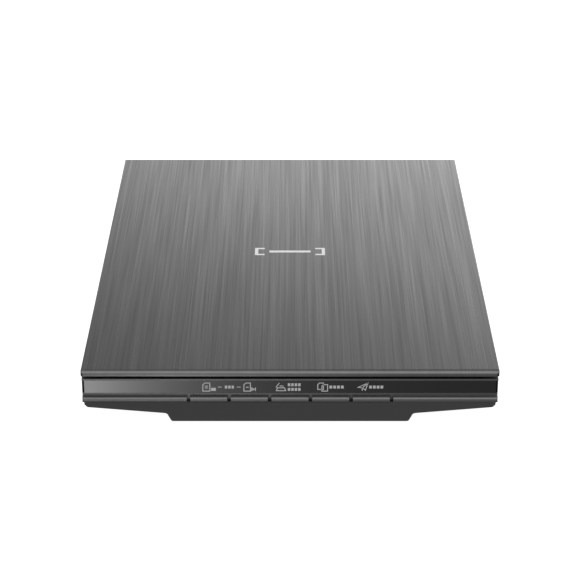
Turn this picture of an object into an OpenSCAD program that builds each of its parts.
// Slim A4 flatbed scanner with a sprung contact image sensor.
// The front faces -Y and the scanner stands on z = 0. All sizes are in millimetres.

/* [Body] */
// Overall width
body_w = 250; // [208:1:310]
// Overall length, front to back
body_l = 367; // [305:1:450]
// Wall of the moulded casings
wall = 2.2; // [1.8:0.1:2.7]
// Height of the rubber feet below the case
foot_h = 1.5; // [1:0.1:3]
// Height of the lower case
case_h = 18.9; // [16:0.1:24]
// Height of the ledge that holds the buttons
ledge_h = 3.7; // [3:0.1:5]
// Height of the groove above the ledge
groove_h = 2.4; // [1:0.1:3]
// Height of the glossy front panel
panel_h = 8.5; // [7:0.1:12]
// Height of the rim above the panel
rim_h = 1.1; // [0.8:0.1:2]
// Corner radius in plan
corner_r = 1.5; // [0.5:0.1:2.5]

/* [Lower case] */
// Width of the deep middle part, at its underside
belly_w = 145; // [120:1:174]
// Height of the deep part's sides, up to the wings
belly_h = 8.2; // [6.8:0.1:9.9]
// Height of the case's side, above the outer end of the wings
wing_side_h = 4.8; // [4.2:0.1:5.8]
// How far the front slopes back down to the underside
front_slope = 12; // [6:0.1:14.4]
// How far the rear slopes in down to the underside
rear_slope = 4; // [2:0.5:5]
// Radius of a rubber foot
foot_r = 7; // [5:0.5:9]

/* [Lid] */
// Thickness of the lid at its rim
lid_t = 3.9; // [3.2:0.1:6]
// Gap between the lid and the body
lid_gap = 2; // [1.6:0.1:3]
// Wall of the lid's cover
lid_wall = 2; // [1.6:0.1:2.4]
// Radius of the lid's upper edges at the front and the rear
lid_edge_r = 2.5; // [1:0.1:3]
// Radius of the lid's upper edges at the sides
lid_side_r = 0.8; // [0.3:0.1:2]
// Distance of each hinge arm from the side of the body
hinge_inset = 37; // [31:0.5:44.5]
// How far the hinge arms lift for thick originals
hinge_lift = 10; // [6:0.5:12]

/* [Scan bed] */
// Distance from the side of the body to the glass window
bed_side = 16.5; // [16:0.1:20]
// Thickness of the glass
glass_t = 2.3; // [1.8:0.1:2.8]
// How far the sensor bar reaches past the window at each end
sensor_over = 4.3; // [3.5:0.1:5.2]
// Width of the sensor bar, front to back
sensor_w = 16; // [13.3:0.1:19.2]

/* [Drive] */
// Radius of the guide rod
rod_r = 3; // [2.5:0.1:3.6]
// Module of the rack and its pinion
rack_module = 0.8; // [0.6:0.1:1]
// Teeth of the second gear's wheel
second_teeth = 40; // [33:1:48]
// Radial running clearance of shafts and pins
run_gap = 0.05; // [0.03:0.01:0.08]

/* [Buttons] */
// Distance between button centres
button_pitch = 24.4; // [20:0.1:29.4]
// Slot between two buttons
button_gap = 1.9; // [1:0.1:3]
// Travel of a button
button_travel = 0.8; // [0.3:0.1:1]

/* [Hidden] */

$fn = 48;
cut = 1;              // how far a cutting shape runs past a face

// Outer faces of the body
x_side = body_w / 2;
y_front = -body_l / 2;
y_rear = body_l / 2;

// Levels of the stack, from the table up
z_case = foot_h;
z_split = z_case + case_h;
z_groove = z_split + ledge_h;
z_panel = z_groove + groove_h;
z_rim = z_panel + panel_h;
z_top = z_rim + rim_h;
z_lid = z_top + lid_gap;
z_lid_top = z_lid + lid_t;

// Lower case
case_step = 1.4;      // how far the lower case stands back under the ledge
floor_z = z_case + wall;
belly_lean = 1.4;     // how far a side of the deep part leans out
belly_round = 1.5;
wing_fillet = 2.6;    // hollow corner between the deep part and a wing
wing_corner = 1.5;    // bevel at the outer end of a wing

// Upper frame
frame_side = 0.4;     // how far the frame stands in from the lid's sides
plate_t = 2;          // top plate around the glass
rim_step = 1.2;       // front faces, measured back from the lid's front edge
panel_step = 1.6;
panel_t = 1.6;
panel_chamfer = 1.2;
panel_back = panel_step + panel_t;
ledge_step = 0.4;
ledge_round = min(1.5, ledge_h / 2 - 0.1);
pocket_back = 4.4;    // floor of the pocket that the button caps move in
front_inner = 5.8;    // inner face of the frame's front wall
rear_step = 1;
hinge_clear = 0.6;    // frame's rear top edge, in front of the hinge axis
step_depth = 6.1;     // depth of the step that the lid's rear edge swings into
z_step = z_top - step_depth;

// Glass and what lies round it
tape_t = 0.2;
z_glass = z_top - plate_t - tape_t - glass_t;
z_glass_top = z_glass + glass_t;
window_w = body_w - 2 * bed_side;
glass_margin = 6;     // glass past the window, on each side
glass_side = window_w / 2 + glass_margin;
front_margin = 12.5;  // glass kept back from the frame's front
glass_front = y_front + front_margin;
glass_rear = y_rear - 22.5;
window_front = y_front + 33.5;
window_rear = y_rear - 34.5;
strip_front = window_front - 16;
strip_w = 14;

// Levels of the gear train, from the case's floor up
rack_h = 5.8;
gear_t = 2;
z_rack_pinion = floor_z + 1.3;
z_second_wheel = floor_z + rack_h + 1;
z_first_pinion = z_second_wheel - 0.2;
z_first_wheel = z_second_wheel + gear_t + 2;
z_gear_plate = z_first_wheel + gear_t + 1;
gear_plate_t = 2.1;   // plate that the gears hang from, up to the tray's floor

// Carriage, at its home place under the calibration strip
sensor_l = window_w + 2 * sensor_over;
scan_y = y_front + 17.5 + sensor_w / 2;
travel = window_rear - 1 - scan_y;
sensor_gap = 0.5;
tray_wall = 1.5;
sensor_front = sensor_w / 2 + 0.5;
sensor_rear = sensor_w / 2 - 0.5;
glide_t = 0.37;
glide_gap = 0.03;
float_down = 1;       // how far the sensor bar can be pressed down
z_tray = z_gear_plate + gear_plate_t;
z_sensor = z_tray + float_down + 0.2;
z_sensor_top = z_glass - glide_gap - glide_t;
tray_t = 1.6;
tray_side = sensor_l / 2 + sensor_gap + tray_wall;
spring_x = 80;
spring_r = 2.4;
spring_wire = 0.4;
cup_wall = 0.9;
cup_deep = 4.7;
z_cup = z_tray - cup_deep;

// The works shift with the side of the deep part
works_x = belly_w / 2 - 72.5;

// Gear train: the rack lies on the floor, left of the train
gear_module = 0.5;
pinion_teeth = 12;
first_teeth = second_teeth + 4;   // as large as clears the second gear's pin
gear_y = scan_y + 12;
pressure_angle = 25;
rack_pitch = PI * rack_module;
rack_pinion_r = rack_module * pinion_teeth / 2;
second_r = gear_module * second_teeth / 2;
first_r = gear_module * first_teeth / 2;
small_r = gear_module * pinion_teeth / 2;
second_x = works_x - 22.2;
first_x = second_x + second_r + small_r;
motor_x = first_x + first_r + small_r;
rack_x = second_x - rack_pinion_r;
rack_play = 0.06;     // backlash given by each part
gear_play = 0.04;
rack_back = 5;
rack_run_out = 8;     // rack past the pinion at each end of the travel
pin_r = 1;
pin_shoulder_r = 1.3;
clip_r = 2.2;
clip_t = 0.6;
clip_gap = 0.1;
gear_plate_left = works_x - 33;
gear_hub_r = 2.5;
gear_plate_front = 6;
gear_plate_rear = 23.5;

// Motor
motor_r = 9;
motor_h = 9;
z_motor_top = z_first_wheel - 0.5;
motor_ear_y = 12;
motor_ear_r = 3;
motor_flange_t = 0.8;
shaft_r = 0.75;
motor_screw_r = 1;
motor_boss_r = 2.2;

// Guide rod
rod_x = works_x + 24;
bush_t = 1.5;
rod_z = floor_z + rod_r + bush_t + 1.8;
bush_l = 6;
rod_block_w = 2 * (rod_r + bush_t + 1.1);
saddle_l = 4.5;
rod_clip_t = 1.5;
rod_clip_w = 4.4;
rod_clip_screw_x = rod_r + 4;

// Boards and sockets
board_t = 1.6;
board_x = works_x + 36;
board_w = 33;
board_l = 56;
board_rear = y_rear - 7.5;
board_lift = 1.5;
z_board = floor_z + board_lift;
board_inset = 4;
board_front_inset = 12;
board_post_r = 2.5;
usb_x = works_x + 52;
usb_w = 12;
usb_h = 10.9;
usb_l = 16;
usb_gap = 0.4;
usb_shell_t = 0.6;
screw_r = 1.25;
small_screw_r = 1;
small_head_r = 2;
small_head_h = 1.2;
flat_cable_x = works_x + 38;
flat_cable_w = 12;
cable_t = 0.25;
cable_fixed_y = scan_y + travel / 2;
button_cable_x = works_x + 55;
button_cable_w = 5;

// Buttons
button_count = 5;
cap_w = button_pitch - button_gap;
cap_gap = 0.2;
button_z = z_split + ledge_h / 2;
pocket_half = button_count * button_pitch / 2 + button_gap / 2;
stem_w = 8;
stem_h = 1.8;
stem_gap = 0.2;
hook_t = 0.8;
hook_gap = 0.1;
hook_w = 1;
stem_end = front_inner + hook_gap + hook_t;
plunger_gap = button_travel + 0.05;
plunger_l = 0.8;
plunger_r = 1.7;
switch_w = 6;
switch_h = 3.5;
button_board_y = y_front + stem_end + plunger_gap + plunger_l + switch_h;
button_board_t = 1.2;
button_board_h = 6.6;
button_board_half = max(2 * button_pitch + 16, button_cable_x + button_cable_w + 4.8);
button_rib_half = 2;

// Screws that hold the casings together
case_boss_x = x_side - 6.4;
rear_boss_x = x_side - 20;
head_r = 2.5;
head_h = 1.7;
case_boss_r = 3.7;
frame_boss_r = 2.6;
z_head_seat = z_split - wing_side_h + 1.4;
screw_gap = 0.3;      // play of a screw and its head in the lower case
case_screw_l = 10;
case_screw_at = [
    [-case_boss_x, y_front + 53], [case_boss_x, y_front + 53],
    [-case_boss_x, y_rear - 163], [case_boss_x, y_rear - 163],
    [-rear_boss_x, y_rear - 16.5], [rear_boss_x, y_rear - 16.5]
];
foot_at = [for (x = [-1, 1], y = [-1, 1]) [x * (belly_w / 2 - 14.5), y * (body_l / 2 - 33.5)]];
foot_recess = 0.5;

// Hinge
axis_y = y_rear - 4.5;
eye_r = 2.8;
axis_z = z_lid_top - lid_wall - eye_r;
hinge_x = x_side - hinge_inset;
eye_w = 7;
hinge_pin_r = 1.3;
lug_r = 2.5;
lug_t = 3;
lug_gap = 0.3;
pin_half = eye_w / 2 + lug_gap + lug_t;
blade_w = 12;
blade_t = 3;
blade_y = y_rear - 12;
guide_gap = 0.2;
guide_wall = 1.6;
z_guide_top = axis_z - 4.1;
arm_foot_t = 1.2;
arm_foot_w = 15.5;
z_blade = wing_level(hinge_x + arm_foot_w / 2) + wall + 0.4;
z_guide = z_blade + arm_foot_t + hinge_lift + 0.05;
notch_half = guide_gap + blade_w / 2 + guide_wall;

// Lid lining
liner_t = 1.4;
pad_margin = 1.5;
pad_t = 0.4;
pad_gap = 0.1;
bumper_w = 10;
bumper_gap = 0.05;
bumper_t = 1.6;
bumper_x = x_side - lid_wall / 2 - 0.6;
liner_margin = 6;     // lining plate past the window

// Points of an arc, from angle a0 to a1
function arc(cx, cy, r, a0, a1, steps = 6) =
    [for (i = [0:steps]) let (a = a0 + (a1 - a0) * i / steps) [cx + r * cos(a), cy + r * sin(a)]];

// Corner points of a rectangle with rounded corners
function round_rect(x0, y0, x1, y1, r) = concat(
    arc(x1 - r, y1 - r, r, 0, 90), arc(x0 + r, y1 - r, r, 90, 180),
    arc(x0 + r, y0 + r, r, 180, 270), arc(x1 - r, y0 + r, r, 270, 360));

// The list in reverse order
function reversed(list) = [for (i = [len(list) - 1:-1:0]) list[i]];

// The unit normal of a path at one of its points
function path_normal(path, i) =
    let (a = path[max(i - 1, 0)], b = path[min(i + 1, len(path) - 1)], d = b - a)
    [-d[1], d[0]] / norm(d);

// Closed outline of a thin strip that follows a path
function strip_outline(path, t) = concat(
    path, reversed([for (i = [0:len(path) - 1]) path[i] + t * path_normal(path, i)]));

// Front and rear faces of the lower case at a level
function case_front(z) = y_front + case_step + (z_split - z) * front_slope / case_h;
function case_rear(z) = y_rear - case_step - (z_split - z) * rear_slope / case_h;

// Extrude a YZ outline along X, centred on x
module along_x(width, x = 0) {
    translate([x - width / 2, 0, 0])
        rotate([90, 0, 90])
            linear_extrude(width)
                children();
}

// Extrude an XZ outline along Y, from y0 to y1
module along_y(y0, y1) {
    translate([0, y1, 0])
        rotate([90, 0, 0])
            linear_extrude(y1 - y0)
                children();
}

// A box between two corners
module block(a, b) {
    translate(a)
        cube(b - a);
}

// A cylinder from z0 to z1
module post(x, y, r, z0, z1) {
    translate([x, y, z0])
        cylinder(r = r, h = z1 - z0);
}

// Level of a wing's underside at x
function wing_level(x) =
    let (
        x0 = belly_w / 2 + belly_lean + wing_fillet,
        x1 = x_side - case_step - wing_corner,
        z0 = z_case + belly_h,
        z1 = z_split - wing_side_h
    )
    z0 + (z1 - z0) * (x - x0) / (x1 - x0);

// One half of the lower case's cross-section, in from its outside by d
function case_half(d) =
    let (
        x0 = belly_w / 2,
        x1 = x0 + belly_lean,
        zw = z_case + belly_h,
        x2 = x_side - case_step,
        z2 = z_split - wing_side_h,
        r = max(belly_round - d, 0.3),
        f = wing_fillet
    )
    concat(
        arc(x0 - d - r, z_case + d + r, r, -90, -10, 4),
        arc(x1 + f, zw - f, f + d, 180, 93, 5),
        [[x2 - wing_corner - d / 2, z2 + d], [x2 - d, min(z2 + 2.5 + d / 2, z_split - 0.4)]]
    );

function mirrored(points) = [for (p = points) [-p[0], p[1]]];

// Solid shape of the lower case, in from its outside by d and up to z1
module case_form(d, z1) {
    half = concat(case_half(d), [[x_side - case_step - d, z1]]);
    intersection() {
        along_y(y_front, y_rear)
            polygon(concat(half, reversed(mirrored(half))));
        along_x(body_w)
            polygon([
                [case_front(z_case + d) + d, z_case + d],
                [case_rear(z_case + d) - d, z_case + d],
                [case_rear(z_split) - d, z_split],
                [case_rear(z_split) - d, z1],
                [case_front(z_split) + d, z1],
                [case_front(z_split) + d, z_split]
            ]);
    }
}

module lower_case() {
    color("dimgray")
    difference() {
        union() {
            difference() {
                case_form(0, z_split);
                case_form(wall, z_split + cut);
            }
            for (p = case_screw_at)
                post(p[0], p[1], case_boss_r, z_head_seat - head_h, z_split);
            for (p = board_hole_at())
                post(p[0], p[1], board_post_r, floor_z - wall / 2, z_board);
            intersection() {
                case_form(wall / 2, z_split);
                rod_saddles();
            }
        }
        for (p = case_screw_at) {
            post(p[0], p[1], head_r + screw_gap, z_case - cut, z_head_seat);
            post(p[0], p[1], screw_r + screw_gap, z_case - cut, z_split + cut);
        }
        for (p = foot_at)
            post(p[0], p[1], foot_r, z_case - cut, z_case + foot_recess);
        for (p = board_hole_at())
            post(p[0], p[1], small_screw_r, floor_z, z_board + cut);
        rod_groove();
        for (p = clip_screw_at())
            post(p[0], p[1], small_screw_r, rod_z - 2, rod_z + rod_r + cut);
        usb_opening();
    }
}

// Hole of the USB socket in the rear walls
module usb_opening() {
    x = usb_w / 2 + usb_gap;
    block([usb_x - x, case_rear(z_case) - 2 * wall, z_board + board_t],
          [usb_x + x, y_rear, z_board + board_t + usb_h + usb_gap]);
}

// Holes of the main board
function board_hole_at() = [
    [board_x + board_inset, board_rear - board_inset],
    [board_x + board_w - board_inset, board_rear - board_inset],
    [board_x + board_inset, board_rear - board_l + board_front_inset],
    [board_x + board_w - board_inset, board_rear - board_l + board_front_inset]
];

// Supports of the two ends of the guide rod
module rod_saddles() {
    w = rod_clip_screw_x + 3.5;
    block([rod_x - w, y_front, z_case], [rod_x + w, rod_front() + saddle_l, rod_z + rod_r]);
    block([rod_x - w, rod_rear() - saddle_l, z_case], [rod_x + w, y_rear, rod_z + rod_r]);
}

// Groove of the rod, open upwards
module rod_groove() {
    translate([rod_x, rod_front(), rod_z])
        rotate([-90, 0, 0])
            cylinder(r = rod_r, h = rod_rear() - rod_front());
    block([rod_x - rod_r, rod_front(), rod_z], [rod_x + rod_r, rod_rear(), rod_z + rod_r + cut]);
}

// Ends of the rod, the middles of its two clips and the clips' screws
function rod_front() = case_front(rod_z - rod_r) + wall;
function rod_rear() = case_rear(rod_z - rod_r) - wall;
function clip_y() = [rod_front() + saddle_l / 2, rod_rear() - saddle_l / 2];
function clip_screw_at() = [for (y = clip_y(), x = [-1, 1]) [rod_x + x * rod_clip_screw_x, y]];

// The outside of the upper frame seen from the side
function frame_outline() = concat(
    [[y_front + rim_step, z_top], [y_front + rim_step, z_rim],
     [y_front + panel_back, z_rim], [y_front + panel_back, z_groove]],
    arc(y_front + ledge_step + ledge_round, z_groove - ledge_round, ledge_round, 90, 180, 5),
    arc(y_front + ledge_step + ledge_round, z_split + ledge_round, ledge_round, 180, 270, 5),
    [[y_rear - rear_step, z_split], [y_rear - rear_step, z_step],
     [axis_y - hinge_clear, z_step], [axis_y - hinge_clear, z_top]]);

module frame_shell() {
    inner_w = body_w - 2 * (frame_side + wall);
    difference() {
        along_x(body_w - 2 * frame_side)
            polygon(frame_outline());
        along_x(inner_w)
            polygon([
                [y_front + front_inner, z_split - cut],
                [y_rear - rear_step - wall, z_split - cut],
                [y_rear - rear_step - wall, z_step - plate_t],
                [axis_y - hinge_clear - wall, z_step - plate_t],
                [axis_y - hinge_clear - wall, z_top - plate_t],
                [y_front + front_inner, z_top - plate_t]
            ]);
        block([-window_w / 2, window_front, z_top - plate_t - cut],
              [window_w / 2, window_rear, z_top + cut]);
        block([-pocket_half, y_front, z_split - cut],
              [pocket_half, y_front + pocket_back, z_groove + 0.1]);
    }
}

module upper_frame() {
    x1 = x_side - frame_side;
    color("dimgray")
    difference() {
        union() {
            intersection() {
                frame_shell();
                translate([0, 0, z_split - cut])
                    linear_extrude(z_top - z_split + 2 * cut)
                        polygon(round_rect(-x1, y_front, x1, y_rear - rear_step, corner_r));
            }
            for (p = case_screw_at)
                post(p[0], p[1], frame_boss_r, z_split, z_top - plate_t / 2);
            for (s = [-1, 1]) {
                hinge_guide(s * hinge_x);
                button_board_rib(s * button_board_half);
            }
        }
        for (p = case_screw_at)
            post(p[0], p[1], screw_r, z_split - cut, z_head_seat + case_screw_l + 0.5);
        for (s = [-1, 1])
            hinge_pocket(s * hinge_x);
        button_board_form();
        usb_opening();
        for (i = [0:button_count - 1])
            stem_slot(button_x(i));
    }
}

// Rib that holds one end of the button board
module button_board_rib(x) {
    block([x - button_rib_half, y_front + front_inner - 0.5, z_split + 0.5],
          [x + button_rib_half, button_board_y + button_board_t + 1, z_glass - 1]);
}

// Slot in the frame's front wall for a button's stem
module stem_slot(x) {
    w = stem_w / 2 + stem_gap;
    h = stem_h / 2 + stem_gap;
    block([x - w, y_front + pocket_back - cut, button_z - h],
          [x + w, y_front + front_inner + cut, button_z + h]);
}

// Box that a hinge arm slides in
module hinge_guide(x) {
    block([x - notch_half - 1, blade_y - guide_gap - guide_wall, z_guide],
          [x + notch_half + 1, blade_y + blade_t + guide_gap + guide_wall, z_top - plate_t / 2]);
}

// Room for a hinge arm, its eye and the lid's lugs
module hinge_pocket(x) {
    w = blade_w / 2 + guide_gap;
    block([x - w, blade_y - guide_gap, z_guide - cut], [x + w, blade_y + blade_t + guide_gap, z_top + cut]);
    block([x - notch_half, blade_y - guide_gap, z_guide_top], [x + notch_half, y_rear, z_top + cut]);
    block([x - notch_half, axis_y - 2 * eye_r + 1, z_step], [x + notch_half, y_rear, z_top + cut]);
}

module platen_glass() {
    color("lightblue", 0.4)
    block([-glass_side, glass_front, z_glass], [glass_side, glass_rear, z_glass_top]);
}

module glass_tape() {
    lip = 1.5;
    color("gainsboro")
    difference() {
        block([-glass_side, glass_front, z_glass_top], [glass_side, glass_rear, z_glass_top + tape_t]);
        block([-window_w / 2 - lip, strip_front - 0.5, z_glass_top - cut],
              [window_w / 2 + lip, window_rear + lip, z_top]);
    }
}

module calibration_strip() {
    color("white")
    block([-window_w / 2, strip_front, z_glass_top],
          [window_w / 2, strip_front + strip_w, z_glass_top + tape_t]);
}

module front_panel() {
    x1 = x_side - frame_side;
    yb = y_front + panel_back;
    yf = y_front + panel_step;
    edge = panel_t - panel_chamfer;
    color("black")
    translate([0, 0, z_panel])
        linear_extrude(panel_h)
            polygon([[-x1, yb], [-x1, yb - edge], [panel_chamfer - x1, yf],
                     [x1 - panel_chamfer, yf], [x1, yb - edge], [x1, yb]]);
}

module rubber_feet() {
    color("black")
    for (p = foot_at)
        difference() {
            post(p[0], p[1], foot_r, 0, z_case + foot_recess);
            post(p[0], p[1], foot_r / 2, -cut, foot_h / 3);
        }
}

// Pan-head screw with a cross recess, its head below z
module screw(r, length, head, height) {
    slot = 0.5;
    deep = height * 0.6;
    difference() {
        union() {
            translate([0, 0, -height])
                cylinder(r = head, h = height);
            cylinder(r = r, h = length);
        }
        for (a = [0, 90])
            rotate(a)
                translate([-head * 0.6, -slot / 2, -height - cut])
                    cube([head * 1.2, slot, deep + cut]);
    }
}

module case_screws() {
    color("silver")
    for (p = case_screw_at)
        translate([p[0], p[1], z_head_seat])
            screw(screw_r, case_screw_l, head_r, head_h);
}

module guide_rod() {
    color("silver")
    translate([rod_x, rod_front(), rod_z])
        rotate([-90, 0, 0])
            cylinder(r = rod_r, h = rod_rear() - rod_front());
}

module rod_clips() {
    w = rod_clip_screw_x + 3;
    color("silver")
    for (y = clip_y())
        difference() {
            block([rod_x - w, y - rod_clip_w / 2, rod_z + rod_r],
                  [rod_x + w, y + rod_clip_w / 2, rod_z + rod_r + rod_clip_t]);
            for (p = clip_screw_at())
                post(p[0], p[1], small_screw_r + 0.2, rod_z, rod_z + rod_r + 2 * rod_clip_t);
        }
}

module clip_screws() {
    color("silver")
    for (p = clip_screw_at())
        translate([p[0], p[1], rod_z + rod_r + rod_clip_t])
            mirror([0, 0, 1])
                screw(small_screw_r, 4, small_head_r, small_head_h);
}

// Involute function of an angle in degrees
function involute(a) = tan(a) - a * PI / 180;

// Half the angle that a tooth covers at radius rho
function tooth_half(rho, r, teeth, play) =
    let (
        base = r * cos(pressure_angle),
        at_pitch = (PI * r / teeth - play) / (2 * r),
        a = acos(min(1, base / max(rho, base)))
    )
    (at_pitch + involute(pressure_angle) - involute(a)) * 180 / PI;

// Outline of a gear whose first tooth points along angle phase
function gear_outline(teeth, m, play, phase) =
    let (
        r = m * teeth / 2,
        root = r - 1.25 * m,
        low = max(root, r * cos(pressure_angle)),
        tip = r + m,
        steps = 4,
        rho = [for (i = [0:steps]) low + (tip - low) * i / steps],
        root_half = tooth_half(low, r, teeth, play)
    )
    [for (k = [0:teeth - 1]) let (mid = phase + k * 360 / teeth) each concat(
        [root * [cos(mid - root_half), sin(mid - root_half)]],
        [for (q = rho) let (a = mid - tooth_half(q, r, teeth, play)) q * [cos(a), sin(a)]],
        [for (q = reversed(rho)) let (a = mid + tooth_half(q, r, teeth, play)) q * [cos(a), sin(a)]],
        [root * [cos(mid + root_half), sin(mid + root_half)]]
    )];

// Outline of the rack, its teeth pointing along +X
function rack_outline() =
    let (
        pinion_y = gear_y,
        first = -ceil(rack_run_out / rack_pitch),
        last = ceil((travel + rack_run_out) / rack_pitch),
        tip = rack_x + rack_module,
        root = rack_x - 1.25 * rack_module,
        half = rack_pitch / 4 - rack_play / 2,
        lean = tan(pressure_angle)
    )
    concat(
        [[root - rack_back, pinion_y + first * rack_pitch]],
        [for (k = [first:last - 1]) let (mid = pinion_y + (k + 0.5) * rack_pitch) each [
            [root, mid - half - lean * (rack_x - root)],
            [tip, mid - half + lean * rack_module],
            [tip, mid + half - lean * rack_module],
            [root, mid + half + lean * (rack_x - root)]
        ]],
        [[root - rack_back, pinion_y + last * rack_pitch]]
    );

module drive_rack() {
    color("ivory")
    translate([0, 0, floor_z])
        linear_extrude(rack_h)
            polygon(rack_outline());
}

module gear_disc(teeth, m, play, phase, z0, z1) {
    translate([0, 0, z0])
        linear_extrude(z1 - z0)
            polygon(gear_outline(teeth, m, play, phase));
}

module second_gear() {
    z_hub = z_first_wheel - 0.3;
    color("ivory")
    translate([second_x, gear_y, 0])
        difference() {
            union() {
                gear_disc(pinion_teeth, rack_module, rack_play, 0, z_rack_pinion, z_second_wheel);
                gear_disc(second_teeth, gear_module, gear_play, 0, z_second_wheel, z_second_wheel + gear_t);
                post(0, 0, gear_hub_r, z_second_wheel + gear_t, z_hub);
            }
            post(0, 0, pin_r + run_gap, z_rack_pinion - cut, z_hub + cut);
        }
}

module first_gear() {
    color("ivory")
    translate([first_x, gear_y, 0])
        difference() {
            union() {
                gear_disc(pinion_teeth, gear_module, gear_play, 180 / pinion_teeth,
                          z_first_pinion, z_first_wheel);
                gear_disc(first_teeth, gear_module, gear_play, 0, z_first_wheel, z_first_wheel + gear_t);
            }
            post(0, 0, pin_r + run_gap, z_first_pinion - cut, z_first_wheel + gear_t + cut);
        }
}

module motor_pinion() {
    color("goldenrod")
    translate([motor_x, gear_y, 0])
        difference() {
            gear_disc(pinion_teeth, gear_module, gear_play, 180 / pinion_teeth,
                      z_motor_top + 0.3, z_gear_plate - 0.4);
            post(0, 0, shaft_r, z_motor_top, z_gear_plate);
        }
}

module motor_shaft() {
    color("silver")
    post(motor_x, gear_y, shaft_r, z_motor_top - motor_h + 0.6, z_gear_plate - 0.4);
}

function motor_screw_at() = [for (s = [-1, 1]) [motor_x, gear_y + s * motor_ear_y]];

module drive_motor() {
    color("silver")
    difference() {
        union() {
            post(motor_x, gear_y, motor_r, z_motor_top - motor_h, z_motor_top);
            for (p = motor_screw_at())
                post(p[0], p[1], motor_ear_r, z_motor_top - motor_flange_t, z_motor_top);
            block([motor_x - motor_ear_r, gear_y - motor_ear_y, z_motor_top - motor_flange_t],
                  [motor_x + motor_ear_r, gear_y + motor_ear_y, z_motor_top]);
        }
        post(motor_x, gear_y, shaft_r + run_gap, z_motor_top - motor_h + 0.5, z_motor_top + cut);
        for (p = motor_screw_at())
            post(p[0], p[1], motor_screw_r + 0.1, z_motor_top - 2 * motor_flange_t, z_motor_top + cut);
    }
}

module motor_screws() {
    color("silver")
    for (p = motor_screw_at())
        translate([p[0], p[1], z_motor_top - motor_flange_t])
            screw(motor_screw_r, 3.5, 1.9, 1);
}

// Steel pin that a gear turns on, pressed into the carriage's gear plate
module gear_pin(x, z0, z_shoulder) {
    post(x, gear_y, pin_r, z0, z_shoulder);
    post(x, gear_y, pin_shoulder_r, z_shoulder, z_gear_plate + 1);
}

module gear_pins() {
    color("silver") {
        gear_pin(second_x, z_rack_pinion - clip_gap - clip_t - 0.1, z_first_wheel - 0.2);
        gear_pin(first_x, z_first_pinion - clip_gap - clip_t - 0.1, z_first_wheel + gear_t + 0.1);
    }
}

module gear_clip(x, z) {
    difference() {
        post(x, gear_y, clip_r, z - clip_gap - clip_t, z - clip_gap);
        post(x, gear_y, pin_r, z - 2, z + 1);
    }
}

module gear_clips() {
    color("silver") {
        gear_clip(second_x, z_rack_pinion);
        gear_clip(first_x, z_first_pinion);
    }
}

module carriage_frame() {
    tray_front = scan_y - sensor_front - sensor_gap - tray_wall;
    tray_rear = scan_y + sensor_rear + sensor_gap + tray_wall;
    z_wall = z_sensor + 4.5;
    block_front = scan_y - gear_plate_front;
    block_rear = scan_y + gear_plate_rear;
    color("black")
    difference() {
        union() {
            block([-tray_side, tray_front, z_tray - tray_t], [tray_side, tray_rear, z_wall]);
            for (s = [-1, 1])
                post(s * spring_x, scan_y, spring_r + spring_wire + 0.3 + cup_wall, z_cup - 0.8, z_tray);
            block([gear_plate_left, block_front, z_gear_plate],
                  [rod_x + rod_block_w / 2, block_rear, z_tray]);
            block([rod_x - rod_block_w / 2, block_front, rod_z - rod_block_w / 2],
                  [rod_x + rod_block_w / 2, block_rear, z_tray]);
            for (p = motor_screw_at())
                post(p[0], p[1], motor_boss_r, z_motor_top, z_gear_plate + 0.5);
        }
        block([-tray_side + tray_wall, tray_front + tray_wall, z_tray],
              [tray_side - tray_wall, tray_rear - tray_wall, z_wall + cut]);
        for (s = [-1, 1])
            post(s * spring_x, scan_y, spring_r + spring_wire + 0.3, z_cup, z_tray + cut);
        translate([rod_x, block_front - cut, rod_z])
            rotate([-90, 0, 0])
                cylinder(r = rod_r + bush_t, h = block_rear - block_front + 2 * cut);
        for (x = [second_x, first_x])
            post(x, gear_y, pin_shoulder_r, z_gear_plate - cut, z_gear_plate + 1);
        for (p = motor_screw_at())
            post(p[0], p[1], motor_screw_r, z_motor_top - cut, z_motor_top + 3);
        block([flat_cable_x - 1, scan_y - 3.5, z_tray - 2 * tray_t],
              [flat_cable_x + flat_cable_w + 1, tray_rear + cut, z_sensor + 1]);
    }
}

module rod_bushes() {
    color("peru")
    for (y = [scan_y - gear_plate_front, scan_y + gear_plate_rear - bush_l])
        translate([rod_x, y, rod_z])
            rotate([-90, 0, 0])
                difference() {
                    cylinder(r = rod_r + bush_t, h = bush_l);
                    translate([0, 0, -cut])
                        cylinder(r = rod_r + run_gap, h = bush_l + 2 * cut);
                }
}

// Coil spring standing on z = 0: a six-sided wire swept along a helix
module coil_spring(height, radius, wire_r, turns) {
    sides = 6;
    per_turn = 12;
    rings = turns * per_turn;
    rise = height - 2 * wire_r;
    points = [for (i = [0:rings], k = [0:sides - 1]) let (
            a = i * 360 / per_turn,
            b = k * 360 / sides,
            rho = radius + wire_r * cos(b)
        )
        [rho * cos(a), rho * sin(a), wire_r + rise * i / rings + wire_r * sin(b)]];
    skin = [for (i = [0:rings - 1], k = [0:sides - 1]) let (
            a = i * sides + k,
            b = i * sides + (k + 1) % sides
        )
        [a, b, b + sides, a + sides]];
    ends = [[for (k = [sides - 1:-1:0]) k], [for (k = [0:sides - 1]) rings * sides + k]];
    polyhedron(points, concat([for (f = skin) reversed(f)], [for (f = ends) reversed(f)]), convexity = 6);
}

module sensor_springs() {
    color("silver")
    for (s = [-1, 1])
        translate([s * spring_x, scan_y, z_cup])
            coil_spring(z_sensor - z_cup, spring_r, spring_wire / 2, 4);
}

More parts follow.
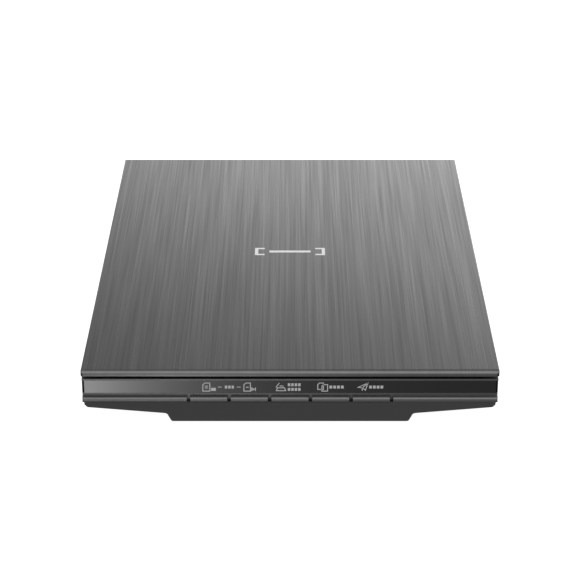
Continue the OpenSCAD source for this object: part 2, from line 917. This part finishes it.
// The free loop lies along the floor and climbs to the sensor's socket
module flat_cable() {
    climb_y = scan_y + 44;
    end_y = scan_y + 2.5;
    z_end = z_sensor - 1.2;
    z_low = floor_z + cable_t;
    steps = 14;
    path = concat(
        [[cable_fixed_y, z_low]],
        [for (i = [0:steps]) let (s = i / steps)
            [climb_y + (end_y - climb_y) * s, z_low + (z_end - z_low) * s * s * (3 - 2 * s)]]
    );
    color("white")
    along_x(flat_cable_w, flat_cable_x + flat_cable_w / 2)
        polygon(strip_outline(path, cable_t));
}

module fixed_flat_cable() {
    board_front = board_rear - board_l;
    z_in = z_board + board_t + 1;
    path = concat(
        [[cable_fixed_y, floor_z]],
        [[board_front - 9, floor_z]],
        arc(board_front - 9, floor_z + 3, 3, -80, -40, 3),
        arc(board_front - 4.4, z_in - 3, 3, 140, 90, 3),
        [[board_front + 1, z_in]]
    );
    color("white")
    along_x(flat_cable_w, flat_cable_x + flat_cable_w / 2)
        polygon(strip_outline(path, cable_t));
}

module main_board() {
    color("darkgreen")
    difference() {
        block([board_x, board_rear - board_l, z_board], [board_x + board_w, board_rear, z_board + board_t]);
        for (p = board_hole_at())
            post(p[0], p[1], small_screw_r + 0.2, z_board - cut, z_board + board_t + cut);
    }
}

module board_screws() {
    color("silver")
    for (p = board_hole_at())
        translate([p[0], p[1], z_board + board_t])
            mirror([0, 0, 1])
                screw(small_screw_r, board_t + board_lift, small_head_r, small_head_h);
}

module controller_chip() {
    x = board_x + board_w / 2;
    y = board_rear - board_l / 2;
    z = z_board + board_t;
    half = 6;             // half the chip's side
    leg_w = 0.4;
    leg_l = 1.2;
    legs = 5;             // legs on each side of the middle one
    color("black")
    block([x - half, y - half, z + 0.2], [x + half, y + half, z + 1.6]);
    color("silver")
    for (a = [0:90:270], i = [-legs:legs])
        translate([x, y, z])
            rotate(a)
                translate([i - leg_w / 2, half, 0])
                    cube([leg_w, leg_l, 0.5]);
}

module board_components() {
    z = z_board + board_t;
    x = board_x;
    y = board_rear - board_l;
    color("darkgray") {
        block([x + 10, y + 8, z], [x + 19, y + 13, z + 1.1]);
        block([x + 26, y + 22, z], [x + 31, y + 33, z + 3.4]);
        post(x + 5, y + 36, 3.1, z, z + 6);
        post(x + 5, y + 27, 2.5, z, z + 5);
        for (i = [0:3])
            block([x + 10 + 2.5 * i, y + 16, z], [x + 11.3 + 2.5 * i, y + 18.2, z + 0.8]);
        block([button_cable_x - 1, y, z], [button_cable_x + button_cable_w + 1, y + 5, z + 2.6]);
    }
}

module cable_socket() {
    y = board_rear - board_l;
    z = z_board + board_t;
    color("ivory")
    difference() {
        block([flat_cable_x - 2, y - 0.5, z], [flat_cable_x + flat_cable_w + 2, y + 4, z + 2.6]);
        block([flat_cable_x - 0.1, y - cut, z + 0.9],
              [flat_cable_x + flat_cable_w + 0.1, y + 1, z + 1.1 + cable_t]);
    }
}

module usb_socket() {
    z = z_board + board_t;
    y1 = case_rear(z_board + usb_h);
    t = usb_shell_t;
    color("silver")
    difference() {
        block([usb_x - usb_w / 2, y1 - usb_l, z], [usb_x + usb_w / 2, y1, z + usb_h]);
        block([usb_x - usb_w / 2 + t, y1 - usb_l + t, z + t],
              [usb_x + usb_w / 2 - t, y1 + cut, z + usb_h - t]);
    }
}

module usb_tongue() {
    z = z_board + board_t + usb_h / 2;
    y1 = case_rear(z_board + usb_h);
    color("white")
    block([usb_x - 2.8, y1 - usb_l + 0.6, z - 1.6], [usb_x + 2.8, y1 - 4, z + 1.6]);
}

// Body of the button board, and the slots that its ends sit in
module button_board_form() {
    x = button_board_half + 1;
    block([-x, button_board_y, button_z - button_board_h / 2],
          [x, button_board_y + button_board_t, button_z + button_board_h / 2]);
}

module button_board() {
    color("darkgreen")
    button_board_form();
}

module tact_switches() {
    color("dimgray")
    for (i = [0:button_count - 1])
        translate([button_x(i), button_board_y, button_z])
            rotate([90, 0, 0])
                union() {
                    translate([-switch_w / 2, -switch_w / 2, 0])
                        cube([switch_w, switch_w, switch_h]);
                    cylinder(r = plunger_r, h = switch_h + plunger_l);
                }
}

// Ribbon from the button board, down the front and along the floor to the main board
module button_cable() {
    board_front = board_rear - board_l;
    y0 = button_board_y + button_board_t;
    z0 = button_z - 1;
    z_low = floor_z + 4.5;
    y_low = case_front(floor_z) + wall;
    z_in = z_board + board_t + 0.7;
    bend = 2.5;
    path = concat(
        [[y0 + cable_t, z0], [y0 + cable_t, z_low + bend]],
        arc(y_low + 4, floor_z + 4 + 0.05, 4, 205, 270, 4),
        [[board_front - 9, floor_z + 0.05]],
        arc(board_front - 9, floor_z + 3, 2.9, -80, -40, 3),
        arc(board_front - 4.4, z_in - 3, 3, 140, 90, 3),
        [[board_front, z_in]]
    );
    color("lightgray")
    along_x(button_cable_w, button_cable_x + button_cable_w / 2)
        polygon(strip_outline(path, cable_t));
}

module sensor_housing() {
    x1 = sensor_l / 2;
    top = z_sensor_top;
    color("black")
    difference() {
        block([-x1, scan_y - sensor_front, z_sensor], [x1, scan_y + sensor_rear, top]);
        block([2 - x1, scan_y - 5.5, top - 0.8], [x1 - 2, scan_y + 5.5, top + cut]);
        block([5 - x1, scan_y - 1, z_sensor + 2.2], [x1 - 5, scan_y + 1, top]);
        block([5 - x1, scan_y + 2, top - 4.8], [x1 - 2.5, scan_y + 5, top]);
        block([3 - x1, scan_y - 6, z_sensor - cut], [x1 - 3, scan_y + 6, z_sensor + 1.4]);
        block([5 - x1, scan_y - 0.4, z_sensor], [x1 - 5, scan_y + 0.4, z_sensor + 3]);
    }
}

module sensor_lens() {
    x1 = sensor_l / 2 - 5;
    color("dimgray")
    block([-x1, scan_y - 0.9, z_sensor + 2.3], [x1, scan_y + 0.9, z_sensor_top - 0.9]);
}

module light_guide() {
    x1 = sensor_l / 2 - 5;
    color("lightcyan")
    block([-x1, scan_y + 2.1, z_sensor_top - 4.2], [x1 - 0.3, scan_y + 4.9, z_sensor_top - 0.9]);
}

module led_unit() {
    x1 = sensor_l / 2 - 5;
    color("white")
    block([x1, scan_y + 2.1, z_sensor_top - 4.6], [x1 + 2.4, scan_y + 4.9, z_sensor_top - 0.9]);
}

module sensor_cover() {
    x1 = sensor_l / 2 - 2;
    color("lightcyan", 0.5)
    block([-x1, scan_y - 5.5, z_sensor_top - 0.8], [x1, scan_y + 5.5, z_sensor_top]);
}

module sensor_board() {
    x1 = sensor_l / 2 - 3;
    color("darkgreen")
    block([-x1, scan_y - 5.9, z_sensor + 0.1], [x1, scan_y + 5.9, z_sensor + 1.3]);
}

module sensor_socket() {
    color("ivory")
    difference() {
        block([flat_cable_x - 0.5, scan_y - 2.5, z_sensor - 2],
              [flat_cable_x + flat_cable_w + 0.5, scan_y + 2.5, z_sensor + 0.1]);
        block([flat_cable_x - 0.2, scan_y, z_sensor - 1.6],
              [flat_cable_x + flat_cable_w + 0.2, scan_y + 2.5 + cut, z_sensor - 0.7]);
    }
}

module sensor_glides() {
    color("white")
    for (s = [-1, 1])
        block([s * (sensor_l / 2 - 1) - 0.9, scan_y - 6, z_sensor_top],
              [s * (sensor_l / 2 - 1) + 0.9, scan_y + 6, z_sensor_top + glide_t]);
}

// Hinge arm: a blade that slides in the frame, with an eye for the lid's pin
module hinge_arm(x) {
    color("dimgray")
    difference() {
        union() {
            block([x - blade_w / 2, blade_y, z_blade],
                  [x + blade_w / 2, blade_y + blade_t, z_guide_top]);
            block([x - arm_foot_w / 2, blade_y, z_blade],
                  [x + arm_foot_w / 2, blade_y + blade_t, z_blade + arm_foot_t]);
            along_x(eye_w, x)
                hull() {
                    translate([axis_y, axis_z])
                        circle(r = eye_r, $fn = 32);
                    translate([blade_y, z_guide_top - 2.5])
                        square([blade_t, 2.5]);
                }
        }
        translate([x - blade_w, axis_y, axis_z])
            rotate([0, 90, 0])
                cylinder(r = hinge_pin_r + run_gap, h = 2 * blade_w);
    }
}

module hinge_arm_left() {
    hinge_arm(-hinge_x);
}

module hinge_arm_right() {
    hinge_arm(hinge_x);
}

module hinge_pins() {
    color("silver")
    for (s = [-1, 1])
        translate([s * hinge_x - pin_half, axis_y, axis_z])
            rotate([0, 90, 0])
                cylinder(r = hinge_pin_r, h = 2 * pin_half);
}

// Half of the lid's cross-section, its upper corner rounded by r
function lid_half(half, r) = concat(
    arc(half - r, z_lid_top - r, r, 90, 0, 6), [[half, z_lid]]);

// Lid slab with rounded corners and rounded upper edges
module lid_slab() {
    side = lid_half(x_side, lid_side_r);
    edge = lid_half(y_rear, lid_edge_r);
    intersection() {
        translate([0, 0, z_lid - cut])
            linear_extrude(z_lid_top - z_lid + 2 * cut)
                polygon(round_rect(-x_side, y_front, x_side, y_rear, corner_r));
        along_y(y_front, y_rear)
            polygon(concat(side, reversed(mirrored(side))));
        along_x(body_w)
            polygon(concat(edge, reversed(mirrored(edge))));
    }
}

// Pair of lugs that hold one hinge pin
module lid_lugs(x) {
    reach = eye_w / 2 + lug_gap + lug_t / 2;
    for (s = [-1, 1])
        difference() {
            union() {
                along_x(lug_t, x + s * reach)
                    translate([axis_y, axis_z])
                        circle(r = lug_r);
                block([x + s * reach - lug_t / 2, axis_y - lug_r, axis_z],
                      [x + s * reach + lug_t / 2, axis_y + lug_r, z_lid_top - lid_wall / 2]);
            }
            translate([x - blade_w, axis_y, axis_z])
                rotate([0, 90, 0])
                    cylinder(r = hinge_pin_r, h = 2 * blade_w);
        }
}

module lid_cover() {
    color("slategray") {
        difference() {
            lid_slab();
            block([lid_wall - x_side, y_front + lid_wall, z_lid - cut],
                  [x_side - lid_wall, y_rear - lid_wall, z_lid_top - lid_wall]);
            for (s = [-1, 1])
                block([s * hinge_x - pin_half - 0.4, axis_y - lug_r, z_lid - cut],
                      [s * hinge_x + pin_half + 0.4, y_rear + cut, z_lid_top - lid_wall]);
        }
        for (s = [-1, 1])
            lid_lugs(s * hinge_x);
    }
}

module lid_liner() {
    x = window_w / 2 + liner_margin;
    color("gainsboro")
    block([-x, window_front - liner_margin, z_lid_top - lid_wall - liner_t],
          [x, window_rear + liner_margin, z_lid_top - lid_wall]);
}

module pad_foam() {
    color("white")
    block([pad_margin - window_w / 2, window_front + pad_margin, z_glass_top + pad_gap + pad_t],
          [window_w / 2 - pad_margin, window_rear - pad_margin, z_lid_top - lid_wall - liner_t]);
}

module document_pad() {
    color("white")
    block([pad_margin - window_w / 2, window_front + pad_margin, z_glass_top + pad_gap],
          [window_w / 2 - pad_margin, window_rear - pad_margin, z_glass_top + pad_gap + pad_t]);
}

module lid_bumpers() {
    color("black")
    for (s = [-1, 1], y = [y_front + 26, y_rear - 46])
        block([s * bumper_x - bumper_t / 2, y, z_top + bumper_gap],
              [s * bumper_x + bumper_t / 2, y + bumper_w, z_lid]);
}

// Centre of a button, counted from the left
function button_x(i) = (i - (button_count - 1) / 2) * button_pitch;

// Button cap with its stem and two hooks behind the frame's wall
module button(i) {
    x = button_x(i);
    y0 = y_front + ledge_step;
    y1 = y_front + pocket_back - button_travel - cap_gap;
    r = ledge_round;
    z0 = z_split + 0.15;
    color("dimgray") {
        along_x(cap_w, x)
            polygon(concat(
                arc(y0 + r, z_groove - r, r, 90, 180, 5), arc(y0 + r, z0 + r, r, 180, 270, 5),
                [[y1, z0], [y1, z_groove]]));
        block([x - stem_w / 2, y1, button_z - stem_h / 2],
              [x + stem_w / 2, y_front + stem_end, button_z + stem_h / 2]);
        for (s = [-1, 1])
            block([x + s * stem_w / 2 - hook_w, y_front + front_inner + hook_gap, button_z - stem_h / 2],
                  [x + s * stem_w / 2 + hook_w, y_front + stem_end, button_z + stem_h / 2]);
    }
}

module button_far_left() { button(0); }
module button_left() { button(1); }
module button_middle() { button(2); }
module button_right() { button(3); }
module button_far_right() { button(4); }

lower_case();
upper_frame();
platen_glass();
glass_tape();
calibration_strip();
front_panel();
rubber_feet();
case_screws();
guide_rod();
rod_clips();
clip_screws();
drive_rack();
main_board();
board_screws();
controller_chip();
board_components();
cable_socket();
usb_socket();
usb_tongue();
button_board();
tact_switches();
button_cable();
fixed_flat_cable();
carriage_frame();
rod_bushes();
drive_motor();
motor_screws();
gear_pins();
gear_clips();
sensor_springs();
flat_cable();
motor_shaft();
motor_pinion();
first_gear();
second_gear();
sensor_housing();
sensor_lens();
light_guide();
led_unit();
sensor_cover();
sensor_board();
sensor_socket();
sensor_glides();
hinge_arm_left();
hinge_arm_right();
hinge_pins();
lid_cover();
lid_liner();
pad_foam();
document_pad();
lid_bumpers();
button_far_left();
button_left();
button_middle();
button_right();
button_far_right();
